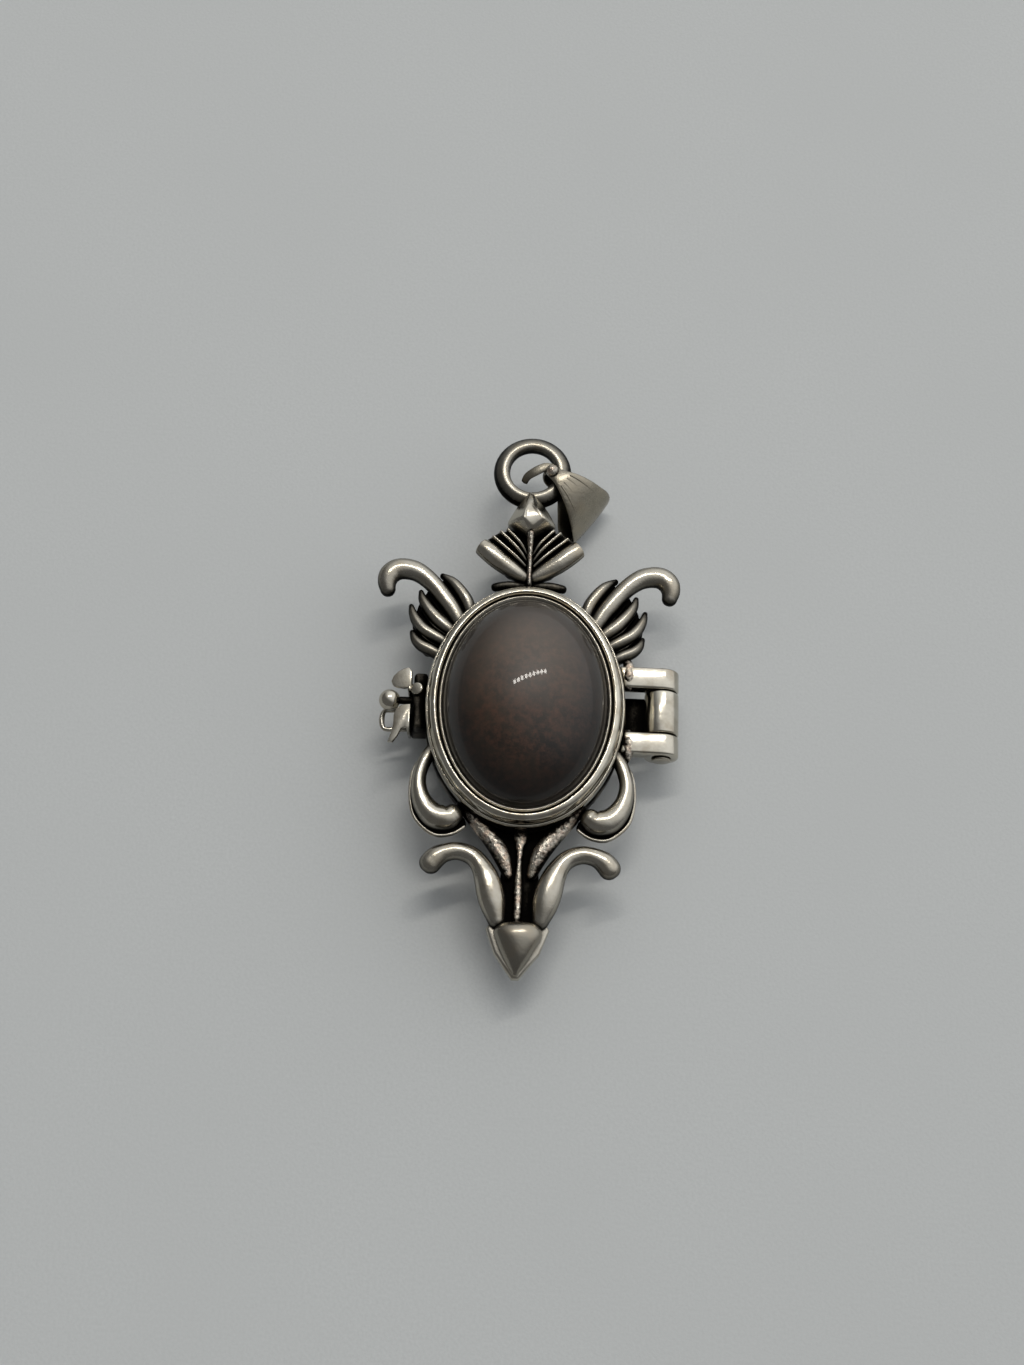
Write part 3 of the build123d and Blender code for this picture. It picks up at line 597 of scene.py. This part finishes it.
VEINS = [
    [(4.75, 7.1, 4.05, 0.12, 0.3), (5.4, 8.35, 4.1, 0.12, 0.3), (6.3, 9.5, 4.0, 0.10, 0.24)],
    [(5.5, 6.35, 4.05, 0.12, 0.3), (6.35, 7.25, 4.1, 0.12, 0.3), (7.15, 8.4, 4.0, 0.10, 0.24)],
    [(5.9, 5.55, 4.05, 0.12, 0.3), (7.0, 6.3, 4.1, 0.12, 0.3), (7.85, 7.5, 4.0, 0.10, 0.24)],
    [(6.3, 4.55, 4.05, 0.12, 0.3), (7.4, 5.15, 4.1, 0.12, 0.3), (8.2, 6.05, 4.0, 0.10, 0.24)],
]
WEB = [(3.9, 7.5), (5.0, 6.4), (6.2, 4.0), (7.4, 4.1), (8.25, 4.9), (8.5, 6.5), (8.1, 8.0), (7.4, 9.3),
       (6.3, 10.1), (5.1, 9.8), (4.2, 8.8)]

for side, hand in ((1, "right"), (-1, "left")):
    horn = bar(bmesh.new(), HORN, side)
    make(f"wing_horn_{hand}", horn, cast_silver, "lid", [f"wing_hook_{hand}"], smoothing=1)
    bm = bmesh.new()
    for feather in FEATHERS:
        bar(bm, feather, side)
    for vein in VEINS:
        bar(bm, vein, side, 8)
    make(f"wing_feathers_{hand}", bm, cast_silver, "lid", [f"wing_fan_{hand}"], smoothing=1)
    web = slab(bmesh.new(), WEB, 3.55, 3.95, side)
    make(f"wing_web_{hand}", web, black_ground_and_shade, "lid", [f"wing_fan_{hand}"])

# ---- Scrolls -------------------------------------------------------------------------
# A crescent scroll hugs each lower shoulder of the setting: thin where it leaves the rim,
# swelling to a fat bulb below, on a thin flange painted black, partly patina and partly
# painted shade under the bulb, with a rubbed crest round its edge.
SCROLL = [(6.5, -3.2, 4.2, 0.48, 0.5), (7.05, -4.1, 4.3, 0.50, 0.55), (7.42, -5.4, 4.35, 0.52, 0.6),
          (7.32, -6.6, 4.35, 0.62, 0.68), (6.85, -7.6, 4.3, 0.80, 0.78), (6.15, -8.25, 4.3, 0.92, 0.86),
          (5.35, -8.35, 4.3, 0.90, 0.86), (4.9, -8.1, 4.3, 0.76, 0.76)]
FLANGE = [(6.75, -3.5, 3.8, 0.35, 0.25), (7.4, -4.5, 3.8, 0.4, 0.25), (7.62, -5.8, 3.8, 0.42, 0.25),
          (7.46, -7.1, 3.8, 0.54, 0.25), (6.92, -8.1, 3.8, 0.74, 0.25), (6.0, -8.75, 3.8, 0.84, 0.25),
          (5.0, -8.75, 3.8, 0.70, 0.25), (4.2, -8.5, 3.8, 0.45, 0.25)]
FLANGE_CREST = [(7.1, -3.6, 3.92, 0.12, 0.14), (7.78, -4.5, 3.92, 0.12, 0.14),
                (8.02, -5.8, 3.92, 0.13, 0.14), (7.95, -7.2, 3.92, 0.14, 0.14),
                (7.5, -8.45, 3.92, 0.15, 0.14), (6.2, -9.5, 3.92, 0.16, 0.14),
                (4.9, -9.4, 3.92, 0.15, 0.14), (4.05, -8.85, 3.92, 0.13, 0.14)]

for side, hand in ((1, "right"), (-1, "left")):
    bulb = bar(bmesh.new(), SCROLL, side)
    make(f"scroll_bulb_{hand}", bulb, cast_silver, "lid", [f"scroll_{hand}"], smoothing=1)
    edge = bar(bmesh.new(), FLANGE, side)
    make(f"scroll_flange_{hand}", edge, black_ground_and_shade, "lid", [f"scroll_{hand}"], smoothing=1)
    crest = bar(bmesh.new(), FLANGE_CREST, side, 8)
    make(f"scroll_crest_{hand}", crest, sheet_silver, "lid", [f"scroll_{hand}"], smoothing=1)

# ---- Tail ----------------------------------------------------------------------------
# Two leaves swell beside a ribbed spine and curl outwards over its top; two short vines
# join the spine to the setting, and a rounded arrow point on a flat rim closes the end.
CURL = [(6.35, -11.7, 4.2, 0.80, 0.74), (5.95, -11.25, 4.25, 0.78, 0.74), (5.3, -10.9, 4.3, 0.66, 0.68),
        (4.4, -10.75, 4.3, 0.64, 0.66), (3.45, -11.05, 4.3, 0.66, 0.68), (2.8, -11.7, 4.35, 0.72, 0.74),
        (2.35, -12.6, 4.4, 0.88, 0.84), (2.05, -13.6, 4.4, 0.98, 0.9), (1.8, -14.6, 4.35, 0.90, 0.84),
        (1.55, -15.6, 4.2, 0.62, 0.66)]
VINE = [(4.1, -7.2, 4.1, 0.60, 0.5), (3.2, -8.4, 4.15, 0.62, 0.55), (2.3, -9.5, 4.2, 0.64, 0.58),
        (1.6, -10.5, 4.25, 0.64, 0.6), (1.15, -11.4, 4.2, 0.56, 0.56), (0.85, -12.3, 4.1, 0.38, 0.42)]
SPINE = [(0.0, -8.9, 4.0, 0.62, 0.4), (-0.02, -9.8, 4.05, 0.50, 0.42), (-0.05, -11.0, 4.0, 0.28, 0.4),
         (-0.1, -13.5, 3.95, 0.34, 0.36), (-0.1, -15.9, 3.95, 0.40, 0.36)]
TAIL_WEB = [(-3.6, -7.8), (-1.3, -11.2), (-1.5, -15.9), (1.5, -15.9), (1.3, -11.2), (3.6, -7.8)]

for side, hand in ((1, "right"), (-1, "left")):
    leaf = bar(bmesh.new(), CURL, side)
    make(f"tail_leaf_{hand}", leaf, cast_silver, "lid", [f"tail_curl_{hand}"], smoothing=1)
    make(f"tail_branch_{hand}", bar(bmesh.new(), VINE, side), rough_silver, "lid", [f"tail_vine_{hand}"],
         smoothing=1)
make("tail_rib", bar(bmesh.new(), SPINE), rough_silver, "lid", ["tail_spine"], smoothing=1)
make("tail_web", slab(bmesh.new(), TAIL_WEB, 3.55, 3.9), black_ground_and_shade, "lid", ["tail_spine"])


# Point silver: rubbed smooth, its colour painted a shade darker than the leaves above it: painted shade,
# where its facets slope towards the dim foot of the room.
shaded_point_silver = silver("point silver with painted shade", "938e83", "14110e", 1.4, 0.25, 0.2, cover=(0.35, 0.95),
                      shine=(0.24, 0.5))
POINT_RIM = [(-0.35, -19.7), (0.15, -19.7), (1.55, -17.9), (2.2, -16.2), (1.95, -15.7), (-1.95, -15.7),
             (-2.25, -16.2), (-1.65, -17.9)]
POINT = [(0.0, -16.1, 4.3, 1.50, 0.80), (0.0, -16.6, 4.4, 1.72, 1.05), (-0.05, -17.4, 4.35, 1.38, 1.0),
         (-0.08, -18.3, 4.2, 0.90, 0.8), (-0.1, -19.0, 4.05, 0.46, 0.5), (-0.1, -19.3, 4.0, 0.26, 0.34)]
rim = slab(bmesh.new(), POINT_RIM, 3.45, 4.1, 1, 0.22)
make("tail_point_rim", rim, sheet_silver, "lid", ["tail_point"])
arrow = bar(bmesh.new(), POINT, sides=24, blunt=(0.25, 1))
make("tail_arrow", arrow, shaded_point_silver, "lid", ["tail_point"], smoothing=1)

# ---- Head ----------------------------------------------------------------------------
# A faceted spearhead carries the ring, on a thin stem between two rolled leaves whose
# flutes sit over a ground painted black, partly patina and partly painted shade. A low
# curved foot joins them to the setting.


def pointed(bm, corners, low, waist, crown, edge, steps=5):
    """A faceted point: upright walls to the waist, then facets up to the crown's corners."""
    foot = bm.faces.new([bm.verts.new((x, y, low)) for x, y in corners])
    walls = bmesh.ops.extrude_face_region(bm, geom=[foot], use_keep_orig=True)["geom"]
    waists = [g for g in walls if isinstance(g, bmesh.types.BMVert)]
    bmesh.ops.translate(bm, vec=(0, 0, waist - low), verts=waists)
    lid = next(g for g in walls if isinstance(g, bmesh.types.BMFace))
    slopes = bmesh.ops.extrude_face_region(bm, geom=[lid])["geom"]
    if lid.is_valid:
        bmesh.ops.delete(bm, geom=[lid], context="FACES_ONLY")
    tops = [g for g in slopes if isinstance(g, bmesh.types.BMVert)]
    tops.sort(key=lambda vert: corners_order(vert, corners))
    for vert, spot in zip(tops, crown):
        vert.co = spot
    bmesh.ops.remove_doubles(bm, verts=bm.verts, dist=0.001)
    bmesh.ops.recalc_face_normals(bm, faces=bm.faces)
    crests = [e for e in bm.edges if e.is_manifold and max(v.co.z for v in e.verts) > low + 0.01]
    bmesh.ops.bevel(bm, geom=crests, affect="EDGES", offset=edge, segments=steps, profile=0.5, material=-1,
                    clamp_overlap=True)
    return bm


def corners_order(vert, corners):
    """Which of the corners stands under a vertex."""
    gaps = [hypot(vert.co.x - x, vert.co.y - y) for x, y in corners]
    return gaps.index(min(gaps))


SPEAR = [(0, 13.2), (1.9, 14.35), (1.2, 15.7), (-0.1, 17.3), (-1.15, 15.8), (-1.8, 14.55)]
SPEAR_CROWN = [(0.1, 13.75, 5.5), (1.05, 14.5, 6.0), (0.5, 15.2, 5.9), (-0.05, 16.2, 5.4), (-0.4, 15.2, 5.9),
               (-0.55, 14.5, 6.0)]
bm = pointed(bmesh.new(), SPEAR, 3.45, 4.75, SPEAR_CROWN, 0.22)
make("head_spear", bm, sheet_silver, "lid", ["head_finial"], crease=180)

STEM = [(0, 9.0, 4.3, 0.24, 0.5), (0, 11.5, 4.55, 0.22, 0.5), (0, 13.6, 5.0, 0.3, 0.6)]
make("head_rod", bar(bmesh.new(), STEM), rough_silver, "lid", ["head_stem"], smoothing=1)

ROLLED_LEAF = [(0.35, 10.35, 4.15, 0.52, 0.55), (1.2, 10.85, 4.3, 0.64, 0.62), (2.2, 11.5, 4.45, 0.72, 0.68),
               (3.05, 12.2, 4.5, 0.74, 0.7), (3.6, 12.65, 4.45, 0.66, 0.66)]
FLUTES = [
    [(0.35, 11.2, 4.3, 0.15, 0.4), (1.2, 12.0, 4.5, 0.16, 0.42), (2.75, 13.35, 4.5, 0.16, 0.42)],
    [(0.32, 11.7, 4.3, 0.14, 0.4), (0.95, 12.5, 4.6, 0.15, 0.42), (2.2, 13.75, 4.6, 0.15, 0.42)],
    [(0.3, 12.2, 4.4, 0.13, 0.4), (0.75, 12.9, 4.7, 0.14, 0.42), (1.7, 13.9, 4.7, 0.14, 0.42)],
]
LEAF_WEB = [(0.1, 9.9), (1.6, 10.5), (3.7, 12.5), (3.3, 13.3), (2.4, 13.95), (1.4, 14.2), (0.1, 13.6)]
for side, hand in ((1, "right"), (-1, "left")):
    bm = bar(bmesh.new(), ROLLED_LEAF, side, blunt=(1, 0.25))
    for flute in FLUTES:
        bar(bm, flute, side, 8)
    make(f"head_roll_{hand}", bm, cast_silver, "lid", [f"head_leaf_{hand}"], smoothing=1)
    web = slab(bmesh.new(), LEAF_WEB, 3.6, 4.2, side)
    make(f"head_web_{hand}", web, black_ground_and_shade, "lid", [f"head_leaf_{hand}"])

COLLAR = [(0.4, 9.7, 4.0, 0.3, 0.4), (1.5, 9.75, 4.05, 0.34, 0.4), (2.5, 9.6, 4.0, 0.32, 0.36)]
bm = bar(bmesh.new(), COLLAR, 1, 8)
bar(bm, COLLAR, -1, 8)
make("head_foot", bm, cast_silver, "lid", ["head_collar"], smoothing=1)

# ---- Hanging ring --------------------------------------------------------------------
# Heavy silver wire bent to a ring and soldered to the spearhead: its outer face has worn
# to a slope, so its crest runs near the inner edge.
RING_CENTRE = Vector((0, 19.0, 0))
RING_CORNERS = [(1.66, 3.95, 0.2), (1.95, 3.62, 0.2), (2.7, 3.62, 0.28), (3.0, 3.98, 0.22), (2.62, 4.55, 0.3),
                (2.08, 4.80, 0.26), (1.76, 4.55, 0.26)]
bm = turned(RING_CORNERS)
bmesh.ops.translate(bm, vec=RING_CENTRE, verts=bm.verts)
make("ring_wire", bm, cast_silver, "lid", ["hanging_ring"], crease=80)

# ---- Bail ----------------------------------------------------------------------------
# A tapered strip of sheet folded round the ring: wide at its outer end, with fine ribs along
# it, narrow where its ends meet under a bead of solder. One end curls on into the ring.
BAIL_PLACE = (Matrix.Translation((0, 19.0, 4.2)) @ Matrix.Rotation(radians(-22), 4, "Z")
              @ Matrix.Translation((2.4, 0, 0)) @ Matrix.Rotation(radians(-14), 4, "Z"))
STRIP = [(-1.05, 0, 0.90, 0.42, 0.17), (-0.3, 0, 1.02, 0.62, 0.17), (0.35, 0, 0.98, 0.92, 0.17),
         (1.0, 0, 0.72, 1.22, 0.17), (1.7, 0, 0.1, 1.58, 0.17), (2.3, 0, -0.7, 1.92, 0.17),
         (2.75, 0, -1.5, 2.22, 0.17), (2.98, 0, -2.4, 2.28, 0.17),
         (2.85, -0.1, -3.2, 2.2, 0.17), (2.4, -0.3, -3.5, 2.05, 0.17),
         (1.6, -0.6, -2.6, 1.75, 0.17), (0.8, -0.4, -1.4, 1.1, 0.17), (0.1, -0.1, -0.98, 0.6, 0.17),
         (-0.8, 0, -0.98, 0.46, 0.17), (-1.3, 0, -0.75, 0.42, 0.17), (-1.48, 0, 0.0, 0.40, 0.17),
         (-1.35, 0, 0.65, 0.40, 0.17), (-1.1, 0, 0.85, 0.36, 0.15)]
TONGUE = [(1.5, 19.1, 4.95, 0.34, 0.10), (0.9, 19.1, 5.0, 0.36, 0.10), (0.25, 18.8, 4.9, 0.36, 0.10),
          (-0.35, 18.5, 4.6, 0.32, 0.10), (-0.6, 18.2, 4.2, 0.26, 0.10)]
BEAD_RADIUS = 0.48
BEAD_PLACE = BAIL_PLACE @ Matrix.Translation((-0.95, 0, 1.12))
RIBS = (-0.6, -0.2, 0.25, 0.62)
# Worn strip silver: drawn lengthwise, greyer than the castings, brown where fingers miss.
strip_silver = silver("worn strip silver", "9a9486", "171310", 1.6, 0.22, 0.4, cover=(0.40, 1.0),
                      shine=(0.26, 0.5))
ACROSS_BAIL = Vector((0, 1, 0))

bm = bar(bmesh.new(), STRIP, 1, 12, (0.2, 0.2), ACROSS_BAIL)
bmesh.ops.transform(bm, matrix=BAIL_PLACE, verts=bm.verts)
bar(bm, TONGUE, 1, 8)
make("bail_strip", bm, strip_silver, "bail", ["bail_shell"], smoothing=1)
bm = bmesh.new()
for rib in RIBS:
    run = [(x, rib * w, z + 0.15, 0.07, 0.05) for x, y, z, w, h in STRIP[2:7]]
    bar(bm, run, 1, 8, (1, 1), ACROSS_BAIL)
bmesh.ops.transform(bm, matrix=BAIL_PLACE, verts=bm.verts)
make("bail_ribs", bm, strip_silver, "bail", ["bail_shell"], smoothing=1)
bm = bmesh.new()
bmesh.ops.create_icosphere(bm, subdivisions=4, radius=BEAD_RADIUS, matrix=BEAD_PLACE)
make("bail_solder", bm, rough_silver, "bail", ["bail_bead"], crease=180)
